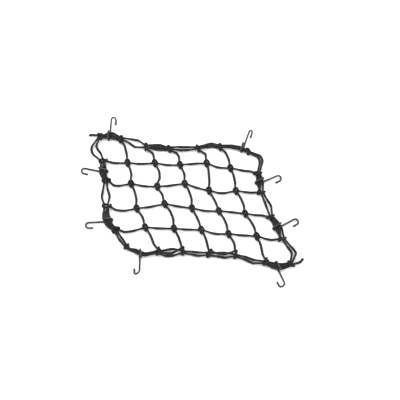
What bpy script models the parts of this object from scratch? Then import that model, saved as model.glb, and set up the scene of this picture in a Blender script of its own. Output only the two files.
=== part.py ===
"""Elastic cargo net with eight wire hooks, spread out on a flat surface.

Metres, +Z up, the surface at z = 0, the origin under the middle of the net's
box. The tables are in millimetres. Five column cords and four row cords make
thirty cells inside an edge of two perimeter strands; where a column or row cord
runs along the edge to its next crossing it adds a third strand. Each knot is a
lump of the cord that ties it, with channels for the cords that pass through.
"""

import math
from collections import namedtuple

import bmesh
import bpy
import numpy as np

MM = 0.001

# Cords
CORD_RADIUS = 2.0
CORD_PITCH = 4.8  # centres of the two perimeter strands side by side in a knot
STACK_PITCH = 4.5  # centres of a third strand and the strand that it lies on
CORD_AT_KNOT = 6.2  # height of a cord's centre in a knot, with one turn of cord below it
CORD_AT_MIDDLE = 4.6  # height of a cord's centre midway between two knots
CORD_STEPS = 3  # straight pieces for each span of a row or column
EDGE_STEPS = 3  # straight pieces for each span of the edge, between the thirds that the table gives
END_TRIM = 2.8  # a strand that ends in a knot stops this far from the knot's centre
TURN_TRIM = 4.8  # a third strand stops this far from the centres of its two knots
TURN_LIFT = 0.7  # a third strand lies this much higher where no hook holds it down
TURN_CLIMB = 0.2  # share of its span in which a third strand climbs to the top of a knot

# Knots, each a lump on a flat base
KNOT_SIDES = 6
KnotSize = namedtuple("KnotSize", "along across height")  # along the row or the edge
CROSSING_KNOT = KnotSize(12.5, 12.5, 12.0)
EDGE_KNOT = KnotSize(9.0, 15.6, 12.4)
EDGE_KNOT_INSET = 1.2  # a knot on the edge is fuller on its inner side
KnotRing = namedtuple("KnotRing", "height size")  # shares of the knot's own
KNOT_PROFILE = (KnotRing(0.0, 0.8), KnotRing(0.45, 1.0), KnotRing(1.0, 0.7))

# Hooks, all alike
WIRE_RADIUS = 1.5
HOOK_STRAIGHT = 40.5  # from the centre of the eye to the start of the bend
HOOK_BEND_RADIUS = 5.6
HOOK_RETURN = 9.0  # straight end after the bend
HOOK_OVER_LEG = 15.5  # end of the eye's upper leg, from the centre of the eye
HOOK_SIDE_STEP = 3.0  # the upper leg ends this far beside the shank
HOOK_LEG_DROP = 0.4  # the upper leg ends this much lower than it starts
HOOK_BEND_STEPS = 7
HOOK_EYE_STEPS = 6
EYE_SLACK = 0.7  # the centre of the eye lies this far inside the innermost strand
LEG_MARGIN = 1.0  # the shank starts to rise this far outside the edge bundle

GAP = 0.3
CLEARANCE = 0.35  # added to a cord's radius for the channel it passes through
SHARP_ANGLE = 65.0  # edges between faces that turn by less than this are shaded smooth
NET_MIDDLE = (1.1, -0.8)  # middle of the net's box in the frame of the tables below

# Where the 42 knots lie, a row for each cord that runs across
KnotRow = namedtuple("KnotRow", "name left first second third fourth fifth right")
KNOT_PLACES = (
    KnotRow("top", (-175, 136), (-129, 136), (-85, 116), (-38, 115), (15, 112), (61, 119), (113, 106)),
    KnotRow("row 1", (-165, 84), (-118, 79), (-66, 79), (-18, 74), (33, 79), (78, 68), (132, 60)),
    KnotRow("row 2", (-160, 37), (-111, 34), (-62, 26), (-9, 34), (36, 18), (86, 18), (135, 13)),
    KnotRow("row 3", (-155, -14), (-99, -21), (-46, -10), (5, -20), (55, -26), (103, -32), (152, -34)),
    KnotRow("row 4", (-137, -70), (-81, -60), (-28, -63), (23, -65), (72, -74), (124, -78), (171, -85)),
    KnotRow("bottom", (-114, -103), (-60, -113), (-11, -111), (36, -116), (84, -118), (134, -134), (184, -134)),
)

# How far each span bows to its left as it runs, from left to right or from top to bottom
CordBows = namedtuple("CordBows", "name spans")
ROW_BOWS = (
    CordBows("row_1", (-2.5, -2.0, -2.0, 0.5, -4.5, -2.5)),
    CordBows("row_2", (-7.0, -2.0, -1.0, -1.5, -5.5, -1.5)),
    CordBows("row_3", (-7.5, -1.5, -1.0, -2.5, 0.5, -2.0)),
    CordBows("row_4", (-4.0, -1.0, -1.0, -4.0, -1.0, -4.5)),
)
COLUMN_BOWS = (
    CordBows("column_1", (1.0, 3.5, 4.3, 3.6, 3.0)),
    CordBows("column_2", (5.5, 7.0, 3.2, 4.8, 2.0)),
    CordBows("column_3", (6.0, 3.2, 3.7, 1.0, 2.3)),
    CordBows("column_4", (7.0, 2.0, 1.5, 3.0, 4.3)),
    CordBows("column_5", (2.5, 2.4, 4.0, 3.0, 2.7)),
)

# The edge, clockwise from the top left: how far outside the line from knot to knot each
# strand lies, at a third and at two thirds of the way
EdgeSpan = namedtuple("EdgeSpan", "name outer_early outer_late third_early third_late inner_early inner_late")
EDGE_SPANS = (
    EdgeSpan("top_0_1", 9.4, 9.0, 4.6, 3.3, -0.2, -3.0),
    EdgeSpan("top_1_2", 4.0, 7.2, None, None, -5.0, -9.0),
    EdgeSpan("top_2_3", 4.0, 4.0, -1.2, -2.0, -5.0, -6.7),
    EdgeSpan("top_3_4", 1.2, 2.0, None, None, -6.0, -5.0),
    EdgeSpan("top_4_5", 5.3, 7.0, 2.6, 3.2, -0.3, -0.6),
    EdgeSpan("top_5_6", 3.2, 4.0, None, None, -1.6, -1.0),
    EdgeSpan("corner_top_right", 13.0, 14.2, None, None, 8.0, 8.4),
    EdgeSpan("right_1_2", 3.8, 4.3, -0.8, -0.3, -5.4, -4.9),
    EdgeSpan("right_2_3", 4.6, 6.5, None, None, -1.5, -2.5),
    EdgeSpan("right_3_4", 5.0, 6.2, 0.4, 1.6, -4.2, -3.8),
    EdgeSpan("corner_bottom_right", 9.5, 15.0, None, None, 3.5, 7.0),
    EdgeSpan("bottom_6_5", 11.9, 9.4, 7.1, 4.7, 2.3, 0.0),
    EdgeSpan("bottom_5_4", 5.5, 2.6, None, None, -1.2, -2.8),
    EdgeSpan("bottom_4_3", 5.7, 3.5, -0.3, -0.3, -4.4, -3.7),
    EdgeSpan("bottom_3_2", 5.0, 3.3, None, None, -2.0, -2.3),
    EdgeSpan("bottom_2_1", 6.7, 7.0, 3.0, 3.0, -7.0, -4.7),
    EdgeSpan("bottom_1_0", 9.6, 6.0, None, None, 5.0, 1.2),
    EdgeSpan("corner_bottom_left", 1.5, 1.5, None, None, -4.0, -4.0),
    EdgeSpan("left_4_3", 10.4, 10.2, 5.4, 5.3, 0.6, 0.4),
    EdgeSpan("left_3_2", 6.7, 3.6, None, None, -8.0, -5.0),
    EdgeSpan("left_2_1", 6.4, 5.4, 1.8, 0.8, -3.5, -3.8),
    EdgeSpan("corner_top_left", 16.4, 16.5, None, None, 1.5, 7.4),
)

# The two free ends of the column cord, from the knot outward
TailPoint = namedtuple("TailPoint", "x y height")
TAILS = {
    "top_0_1": (TailPoint(-183, 142, 5.0), TailPoint(-189, 145, 3.5), TailPoint(-195, 144, 2.5)),
    "bottom_6_5": (TailPoint(195, -133, 5.0), TailPoint(201, -128, 3.5), TailPoint(207, -121, 2.5)),
}

# Each hook: the edge span it is on, how far along, which way its shank points in degrees
# from +X, how far its bend rolls down from level, and the side that it curls to
Hook = namedtuple("Hook", "name span along heading roll curl")
HOOKS = (
    Hook("hook_top_left", 0, 0.44, 85, 42, -1),
    Hook("hook_top_right", 5, 0.77, 68, 66, -1),
    Hook("hook_right_upper", 7, 0.50, 22, 14, -1),
    Hook("hook_right_lower", 9, 0.52, 29, 8, -1),
    Hook("hook_bottom_right", 11, 0.50, -71, 18, -1),
    Hook("hook_bottom_left", 16, 0.52, -89, 30, -1),
    Hook("hook_left_lower", 18, 0.45, 185, 6, 1),
    Hook("hook_left_upper", 20, 0.50, 168, 6, 1),
)

LAST_ROW = len(ROW_BOWS) + 1
LAST_COLUMN = len(COLUMN_BOWS) + 1
EDGE_ORDER = (
    [(0, column) for column in range(LAST_COLUMN + 1)]
    + [(row, LAST_COLUMN) for row in range(1, LAST_ROW)]
    + [(LAST_ROW, column) for column in range(LAST_COLUMN, -1, -1)]
    + [(row, 0) for row in range(LAST_ROW - 1, 0, -1)]
)
STRAND_SLOTS = {"outer": CORD_PITCH / 2, "third": 0.0, "inner": -CORD_PITCH / 2}

# The perimeter cord is built as four sides; first and last are places in EDGE_ORDER
Side = namedtuple("Side", "name first last")
SIDES = (
    Side("top", 0, 6),
    Side("right", 6, 11),
    Side("bottom", 11, 17),
    Side("left", 17, 22),
)
JOINT_SIDES = ("top", "bottom")  # their outer strands end in the knots that close the perimeter cord

UP = np.array([0.0, 0.0, 1.0])


# ---------------------------------------------------------------- plan of the net


def knot_place(row, column):
    """Centre of a knot in plan."""
    return np.array(KNOT_PLACES[row][column + 1], float) - NET_MIDDLE


def left_of(direction):
    """Unit vector in plan, a quarter turn to the left of a direction."""
    return np.array([-direction[1], direction[0]]) / math.hypot(*direction)


def edge_knot(place):
    """Centre of the knot at a place in EDGE_ORDER, which closes on itself."""
    return knot_place(*EDGE_ORDER[place % len(EDGE_ORDER)])


def span_normal(span):
    """Outward direction of an edge span."""
    return left_of(edge_knot(span + 1) - edge_knot(span))


def knot_normal(place):
    """Outward direction at an edge knot, between those of its two spans."""
    both = span_normal(place) + span_normal(place - 1)
    return both / math.hypot(*both)


def height_along(share, level):
    """Height of a cord's centre along a span: level, or dipping midway between its knots."""
    dip = 0.0 if level else CORD_AT_KNOT - CORD_AT_MIDDLE
    return CORD_AT_KNOT - dip * 4 * share * (1 - share)


def bowed_span(start, end, bow, share):
    """Points along a span whose plan is a parabola that bows to its left."""
    t = share[:, None]
    plan = start * (1 - t) + end * t + left_of(end - start) * bow * 4 * t * (1 - t)
    return np.column_stack([plan, height_along(share, False)])


def strand_plan(span, strand, share):
    """Plan of an edge strand: a cubic from its slot in one knot to its slot in the next."""
    slot = STRAND_SLOTS[strand]
    early = getattr(EDGE_SPANS[span], strand + "_early")
    late = getattr(EDGE_SPANS[span], strand + "_late")
    t = share[:, None]
    offset = slot * (1 - 4.5 * t * (1 - t))
    offset = offset + 13.5 * t * (1 - t) * (early * (2 / 3 - t) + late * (t - 1 / 3))
    normal = span_normal(span)
    turn = (knot_normal(span) - normal) * (1 - t) ** 3 + (knot_normal(span + 1) - normal) * t**3
    return edge_knot(span) * (1 - t) + edge_knot(span + 1) * t + normal * offset + turn * slot


def strand_points(span, strand, share):
    """Points of an edge strand. A third strand rises where the other two leave it no room."""
    plan = strand_plan(span, strand, share)
    hooked = span in {hook.span for hook in HOOKS}
    height = height_along(share, hooked)
    if strand == "third":
        beside = [strand_plan(span, other, share) - plan for other in ("outer", "inner")]
        nearest = np.min([np.hypot(step[:, 0], step[:, 1]) for step in beside], axis=0)
        climb = np.sqrt(np.clip(STACK_PITCH**2 - nearest**2, 0, None))
        height = height + climb + (0.0 if hooked else TURN_LIFT)
    return np.column_stack([plan, height])


def strand_place(span, strand, along):
    """Where a strand of straight pieces is in plan, a share of the way along its span."""
    share = np.linspace(0, 1, EDGE_STEPS + 1)
    plan = strand_plan(span, strand, share)
    return np.array([np.interp(along, share, plan[:, axis]) for axis in (0, 1)])


def joined(runs):
    """One route from runs that each start where the last one ended."""
    return np.vstack([runs[0]] + [run[1:] for run in runs[1:]])


def trimmed(points, at_start, at_end):
    """A route shortened at its ends, or lengthened where a number is negative."""
    points = points.copy()
    first = points[1] - points[0]
    last = points[-2] - points[-1]
    points[0] += first * at_start / np.linalg.norm(first)
    points[-1] += last * at_end / np.linalg.norm(last)
    return points


# ---------------------------------------------------------------- routes


def row_route(row):
    """A row cord, from the left edge to the right edge."""
    share = np.linspace(0, 1, CORD_STEPS + 1)
    knots = [knot_place(row + 1, column) for column in range(LAST_COLUMN + 1)]
    bows = ROW_BOWS[row].spans
    return joined([bowed_span(a, b, bow, share) for a, b, bow in zip(knots, knots[1:], bows)])


def column_route(column):
    """A column cord, from the top edge to the bottom edge."""
    share = np.linspace(0, 1, CORD_STEPS + 1)
    knots = [knot_place(row, column + 1) for row in range(LAST_ROW + 1)]
    bows = COLUMN_BOWS[column].spans
    return joined([bowed_span(a, b, bow, share) for a, b, bow in zip(knots, knots[1:], bows)])


def side_route(side, strand):
    """A perimeter strand along one side, from near its first knot to near its last."""
    share = np.linspace(0, 1, EDGE_STEPS + 1)
    runs = [strand_points(span, strand, share) for span in range(side.first, side.last)]
    return trimmed(joined(runs), END_TRIM, END_TRIM)


def turn_route(span):
    """A third strand along one edge span, with the cord's free end where it has one."""
    length = np.linalg.norm(edge_knot(span + 1) - edge_knot(span))
    trim = TURN_TRIM / length
    tail = TAILS.get(EDGE_SPANS[span].name)
    start = 0 if tail else trim
    share = np.array([start, TURN_CLIMB, 1 / 3, 2 / 3, 1 - TURN_CLIMB, 1 - trim])
    points = strand_points(span, "third", share)
    if tail:
        free_end = [np.array(point, float) - (*NET_MIDDLE, 0) for point in reversed(tail)]
        points = np.vstack([free_end, points])
    return points


def hook_route(hook):
    """A hook, from the end of its upper leg, round the eye, along the shank and round the bend.

    The eye holds the edge bundle between its two legs. The lower leg lies on the surface,
    and the shank rises just enough to bring the tip of the rolled bend down to it.
    """
    outer = strand_place(hook.span, "outer", hook.along)
    inner = strand_place(hook.span, "inner", hook.along)
    heading = math.radians(hook.heading)
    ahead = np.array([math.cos(heading), math.sin(heading), 0.0])
    curl = hook.curl * np.array([-ahead[1], ahead[0], 0.0])
    bundle = (outer - inner) @ ahead[:2] + EYE_SLACK
    over = CORD_AT_KNOT + CORD_RADIUS + GAP + WIRE_RADIUS
    eye_radius = (over - WIRE_RADIUS) / 2
    middle = np.array([*(outer + inner) / 2, WIRE_RADIUS + eye_radius])
    eye = middle - ahead * (bundle + EYE_SLACK) / 2
    points = [eye + ahead * HOOK_OVER_LEG - curl * HOOK_SIDE_STEP + UP * (eye_radius - HOOK_LEG_DROP)]
    for angle in np.linspace(0, math.pi, HOOK_EYE_STEPS + 1):
        beside = HOOK_SIDE_STEP / 2 * (1 - angle / math.pi)
        round_eye = UP * math.cos(angle) - ahead * math.sin(angle)
        points.append(eye + eye_radius * round_eye - curl * beside)
    leave = bundle + CORD_RADIUS + LEG_MARGIN
    points.append(eye + ahead * leave - UP * eye_radius)
    roll = math.radians(hook.roll)
    drop = 2 * HOOK_BEND_RADIUS * math.sin(roll)
    rise = math.atan2(drop, HOOK_STRAIGHT - leave - HOOK_RETURN)
    along = ahead * math.cos(rise) + UP * math.sin(rise)
    below = ahead * math.sin(rise) - UP * math.cos(rise)
    across = curl * math.cos(roll) + below * math.sin(roll)
    bend = points[-1] + along * (HOOK_STRAIGHT - leave)
    for angle in np.linspace(0, math.pi, HOOK_BEND_STEPS + 1):
        round_bend = along * math.sin(angle) + across * (1 - math.cos(angle))
        points.append(bend + HOOK_BEND_RADIUS * round_bend)
    points.append(points[-1] - along * HOOK_RETURN)
    return np.array(points)


# ---------------------------------------------------------------- solids


def principled(name, colour, roughness, metallic):
    """A plain Principled material."""
    material = bpy.data.materials.new(name)
    material.use_nodes = True
    shader = material.node_tree.nodes["Principled BSDF"]
    shader.inputs["Base Color"].default_value = (*colour, 1.0)
    shader.inputs["Roughness"].default_value = roughness
    shader.inputs["Metallic"].default_value = metallic
    return material


def add_mesh(name, mesh, material):
    """Puts a mesh in the scene under its own name, with its round faces smooth."""
    mesh.shade_smooth()
    mesh.set_sharp_from_angle(angle=math.radians(SHARP_ANGLE))
    body = bpy.data.objects.new(name, mesh)
    bpy.context.collection.objects.link(body)
    if material:
        mesh.materials.append(material)
    return body


def tube_mesh(name, points, radius, resolution, twist):
    """A closed tube along a route: a bevelled curve with filled caps, made into a mesh."""
    curve = bpy.data.curves.new(name + " route", "CURVE")
    curve.dimensions = "3D"
    curve.twist_mode = twist
    curve.bevel_depth = radius * MM
    curve.bevel_resolution = resolution
    curve.use_fill_caps = True
    spline = curve.splines.new("POLY")
    spline.points.add(len(points) - 1)
    for place, point in zip(spline.points, points):
        place.co = (*(point * MM), 1.0)
    guide = bpy.data.objects.new(name + " route", curve)
    mesh = bpy.data.meshes.new_from_object(guide)
    mesh.name = name
    bpy.data.objects.remove(guide)
    bpy.data.curves.remove(curve)
    work = bmesh.new()
    work.from_mesh(mesh)
    bmesh.ops.remove_doubles(work, verts=work.verts, dist=1e-6)
    bmesh.ops.recalc_face_normals(work, faces=work.faces)
    work.to_mesh(mesh)
    work.free()
    return mesh


def cord_mesh(name, points, radius=CORD_RADIUS):
    """A six-sided tube for a length of cord."""
    return tube_mesh(name, points, radius, 1, "Z_UP")


def knot_mesh(name, knots):
    """Lumps for the knots of one cord: rings of a flattened outline, one above another.

    Each knot is (centre, direction along it, its size).
    """
    work = bmesh.new()
    for centre, along, size in knots:
        across = left_of(along)
        rings = []
        for level in KNOT_PROFILE:
            ring = []
            for corner in range(KNOT_SIDES):
                angle = math.tau * (corner + 0.5) / KNOT_SIDES
                plan = centre + along * math.cos(angle) * level.size * size.along / 2
                plan = plan + across * math.sin(angle) * level.size * size.across / 2
                ring.append(work.verts.new((*(plan * MM), level.height * size.height * MM)))
            rings.append(ring)
        work.faces.new(reversed(rings[0]))
        work.faces.new(rings[-1])
        for low, high in zip(rings, rings[1:]):
            for corner in range(KNOT_SIDES):
                after = (corner + 1) % KNOT_SIDES
                work.faces.new((low[corner], low[after], high[after], high[corner]))
    mesh = bpy.data.meshes.new(name)
    work.to_mesh(mesh)
    work.free()
    return mesh


def add_helper(name, mesh):
    """A shape that only serves a Boolean: drawn as wire and left out of renders."""
    helper = add_mesh(name, mesh, None)
    helper.hide_render = True
    helper.display_type = "WIRE"
    return helper


def add_boolean(body, operation, helpers):
    """Joins helpers to a body, or cuts them from it."""
    group = bpy.data.collections.new(f"{body.name} {operation.lower()}")
    for helper in helpers:
        group.objects.link(helper)
    modifier = body.modifiers.new(operation.title(), "BOOLEAN")
    modifier.operation = operation
    modifier.solver = "EXACT"
    modifier.operand_type = "COLLECTION"
    modifier.collection = group


def crossing_knots(column):
    """The lumps where a column cord is tied round the four row cords."""
    knots = []
    for row in range(1, LAST_ROW):
        before = knot_place(row, column)
        after = knot_place(row, column + 2)
        along = (after - before) / np.linalg.norm(after - before)
        knots.append((knot_place(row, column + 1), along, CROSSING_KNOT))
    return knots


def edge_lump(place):
    """The lump at an edge knot, lengthwise along the edge."""
    outward = knot_normal(place)
    return (edge_knot(place) - outward * EDGE_KNOT_INSET, -left_of(outward), EDGE_KNOT)


def edge_place(row, column):
    """Place of an edge knot in EDGE_ORDER."""
    return EDGE_ORDER.index((row, column))


def add_cord(name, points, knots, cuts, material):
    """A length of cord with the knots that it ties, cut clear of the cords they hold."""
    body = add_mesh(name, cord_mesh(name, points), material)
    if knots:
        add_boolean(body, "UNION", [add_helper(name + " knots", knot_mesh(name + " knots", knots))])
        add_boolean(body, "DIFFERENCE", cuts)
    return body


def add_channel(name, points):
    """The cutter for the channel of a cord: the same route, wider and longer by the clearance."""
    route = trimmed(points, -CLEARANCE, -CLEARANCE)
    return add_helper(name + " channel", cord_mesh(name + " channel", route, CORD_RADIUS + CLEARANCE))


def build():
    """Builds the cords and the hooks, each a named object."""
    for old in list(bpy.data.objects):
        bpy.data.objects.remove(old)
    cord = principled("braided elastic cord", (0.035, 0.035, 0.037), 0.75, 0.0)
    wire = principled("coated wire", (0.03, 0.03, 0.032), 0.4, 0.0)

    rows = {bows.name: row_route(row) for row, bows in enumerate(ROW_BOWS)}
    sides = {}
    for side in SIDES:
        for strand in ("outer", "inner"):
            sides[f"edge_{side.name}_{strand}"] = side_route(side, strand)
    turns = {}
    for place, span in enumerate(EDGE_SPANS):
        if span.third_early is not None:
            turns["turn_" + span.name] = turn_route(place)

    row_channels = [add_channel(name, points) for name, points in rows.items()]
    side_channels = {name: add_channel(name, points) for name, points in sides.items()}
    strands = list(side_channels.values())

    for column, bows in enumerate(COLUMN_BOWS):
        knots = crossing_knots(column)
        knots += [edge_lump(edge_place(0, column + 1)), edge_lump(edge_place(LAST_ROW, column + 1))]
        add_cord(bows.name, column_route(column), knots, row_channels + strands, cord)

    for row, (name, points) in enumerate(rows.items()):
        knots = [edge_lump(edge_place(row + 1, 0)), edge_lump(edge_place(row + 1, LAST_COLUMN))]
        add_cord(name, points, knots, strands, cord)

    for side in SIDES:
        for strand in ("outer", "inner"):
            name = f"edge_{side.name}_{strand}"
            joint = side.name in JOINT_SIDES and strand == "outer"
            knots = [edge_lump(side.last)] if joint else []
            others = [cutter for other, cutter in side_channels.items() if other != name]
            add_cord(name, sides[name], knots, others, cord)

    for name, points in turns.items():
        span = name.removeprefix("turn_")
        place = [row.name for row in EDGE_SPANS].index(span)
        knots = [edge_lump(place)] if span in TAILS else []
        add_cord(name, points, knots, strands, cord)

    for hook in HOOKS:
        mesh = tube_mesh(hook.name, hook_route(hook), WIRE_RADIUS, 2, "MINIMUM")
        add_mesh(hook.name, mesh, wire)


build()
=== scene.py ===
"""Elastic cargo net with eight wire hooks, spread out on a flat surface.

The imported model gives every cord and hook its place. Here they become what they
really are: four lengths of braided elastic cord, tied together in forty-two knots,
and eight hooks bent from coated wire. Sizes are in millimetres, in the model's own
frame, and a mesh turns them into metres.
"""

import logging
import math
from dataclasses import dataclass, field
from enum import Enum
from typing import Callable, NamedTuple

import bpy
import numpy as np
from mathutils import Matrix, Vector


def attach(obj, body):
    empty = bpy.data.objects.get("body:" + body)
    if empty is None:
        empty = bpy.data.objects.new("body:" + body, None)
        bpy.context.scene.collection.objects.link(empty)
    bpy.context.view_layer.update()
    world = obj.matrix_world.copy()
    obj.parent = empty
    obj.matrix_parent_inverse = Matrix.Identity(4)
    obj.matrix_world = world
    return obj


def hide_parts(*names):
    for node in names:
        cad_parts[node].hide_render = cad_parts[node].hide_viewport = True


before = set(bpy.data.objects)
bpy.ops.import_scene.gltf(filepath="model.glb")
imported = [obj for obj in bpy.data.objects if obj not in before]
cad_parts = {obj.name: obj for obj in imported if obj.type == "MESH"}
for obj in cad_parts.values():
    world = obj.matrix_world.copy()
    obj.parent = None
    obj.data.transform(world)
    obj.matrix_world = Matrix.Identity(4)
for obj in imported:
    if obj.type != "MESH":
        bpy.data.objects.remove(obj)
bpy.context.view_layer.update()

MM = 0.001
TINY = 1e-9
UP = np.array([0.0, 0.0, 1.0])
FIRST_RING = 0.12  # radians round a rounded end, where its first ring lies
LOG = logging.getLogger("cargo net")


# ---------------------------------------------------------------- small helpers


def left_of(direction: np.ndarray) -> np.ndarray:
    """Unit vector in plan, a quarter turn to the left of a direction."""
    return np.array([-direction[1], direction[0]]) / math.hypot(direction[0], direction[1])


def lengths_along(points: np.ndarray) -> np.ndarray:
    """How far along the line each of its points is."""
    return np.r_[0.0, np.cumsum(np.linalg.norm(np.diff(points[:, :3], axis=0), axis=1))]


def evenly_spaced(points: np.ndarray, count: int) -> np.ndarray:
    """Points at equal distances along a line of straight pieces.

    Args:
        points: The line, one row a point. Columns after the third are carried along.
        count: How many points to return.

    Returns:
        The new points, with the same columns.
    """
    along = lengths_along(points)
    wanted = np.linspace(0.0, along[-1], count)
    return np.column_stack([np.interp(wanted, along, column) for column in points.T])


def smooth_line(points: np.ndarray, count: int, steps: int = 24) -> np.ndarray:
    """A smooth curve through points, returned at equal distances.

    Each piece is the Catmull-Rom cubic, half of 2b + (c - a)t + (2a - 5b + 4c - d)t^2
    + (3b - a - 3c + d)t^3 between b and c, with a before them and d after.

    Args:
        points: Points that the curve passes through.
        count: How many points to return.
        steps: How finely each piece is followed.

    Returns:
        The points of the curve.
    """
    ends = np.vstack([2 * points[0] - points[1], points, 2 * points[-1] - points[-2]])
    t = np.linspace(0.0, 1.0, steps, endpoint=False)[None, :, None]
    a, b, c, d = (ends[k : len(ends) - 3 + k][:, None, :] for k in range(4))
    curve = 2 * b + (c - a) * t + (2 * a - 5 * b + 4 * c - d) * t**2
    curve = (curve + (3 * b - a - 3 * c + d) * t**3) / 2
    return evenly_spaced(np.vstack([curve.reshape(-1, points.shape[1]), points[-1]]), count)


def eased(line: np.ndarray, passes: int) -> np.ndarray:
    """An open line with its corners eased: each pass averages a point with its neighbours."""
    for _ in range(passes):
        line[1:-1] = (line[:-2] + 2 * line[1:-1] + line[2:]) / 4
    return line


def blunted(line: np.ndarray, blunt: float, rings: int, clear: float) -> np.ndarray:
    """The line with close rings at both ends, whose radii close it like a melted or dipped tip.

    A ring at a distance d from the tip keeps the share sqrt(1 - (1 - d / blunt)^2) of its
    radius. The first ring is a little in from the tip, which leaves a small flat cap.

    Args:
        line: Rows of x, y, z and radius.
        blunt: How long each rounded end is.
        rings: How many rings round it.
        clear: How many times blunt the plain rings keep away from the tips.

    Returns:
        The line with its end rings.
    """
    along = lengths_along(line)
    near = blunt * (1 - np.cos(np.linspace(FIRST_RING, math.pi / 2, rings)))
    plain = along[(along > blunt * clear) & (along < along[-1] - blunt * clear)]
    places = np.r_[near, plain, along[-1] - near[::-1]]
    rows = np.column_stack([np.interp(places, along, column) for column in line.T])
    inside = np.clip(np.minimum(places, along[-1] - places) / blunt, 0, 1)
    rows[:, 3] *= np.sqrt(np.clip(1 - (1 - inside) ** 2, 0, 1))
    return rows


def triangles(piece: bpy.types.Object) -> int:
    """How many triangles a piece comes to."""
    return sum(len(face.vertices) - 2 for face in piece.data.polygons)


# ---------------------------------------------------------------- plan of the net


class Strand(Enum):
    """Strands that run beside one another along the edge."""

    OUTER = "outer"
    THIRD = "third"
    INNER = "inner"


class EdgeSpan(NamedTuple):
    """One span of the edge: how far outside the line from knot to knot each strand lies.

    Each pair is the offset at a third and at two thirds of the way. A span that only
    the two perimeter strands cross has no third.
    """

    name: str
    outer: tuple[float, float]
    inner: tuple[float, float]
    third: tuple[float, float] | None = None
    hooked: bool = False


class KnotRow(NamedTuple):
    """Knots of one cord that runs across, from the left edge to the right."""

    name: str
    places: tuple[tuple[float, float], ...]


class Bows(NamedTuple):
    """How far each span of a cord bows to its left as it runs right or down."""

    name: str
    spans: tuple[float, ...]


class TailPoint(NamedTuple):
    """A point on a free end of the column cord."""

    x: float
    y: float
    height: float


@dataclass(frozen=True)
class Run:
    """A cord between two neighbouring knots: its points as a function of the share of the way."""

    length: float
    points: Callable[[np.ndarray], np.ndarray]
    end_points: int = 12

    def leaving(self, reach: float, step: float) -> np.ndarray:
        """Two points just outside the knot at its start, the farther one first."""
        return self.points(np.array([reach + step, reach]) / self.length)

    def arriving(self, reach: float, step: float) -> np.ndarray:
        """Two points just outside the knot at its end, the farther one first."""
        return self.points(1 - np.array([reach + step, reach]) / self.length)

    def from_knot(self, reach: float) -> np.ndarray:
        """Points from the knot at its start outward, with end_points in all."""
        return self.points(np.linspace(0.0, reach / self.length, self.end_points))

    def to_knot(self, reach: float) -> np.ndarray:
        """Points that come in to the knot at its end."""
        return self.points(1 - np.linspace(reach / self.length, 0.0, self.end_points))

    def middle(self, reach: float, step: float) -> np.ndarray:
        """Points from clear of the first knot to clear of the second."""
        share = (reach + step) / self.length
        count = max(3, round((self.length - 2 * reach) / step))
        return self.points(np.linspace(share, 1 - share, count))


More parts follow.
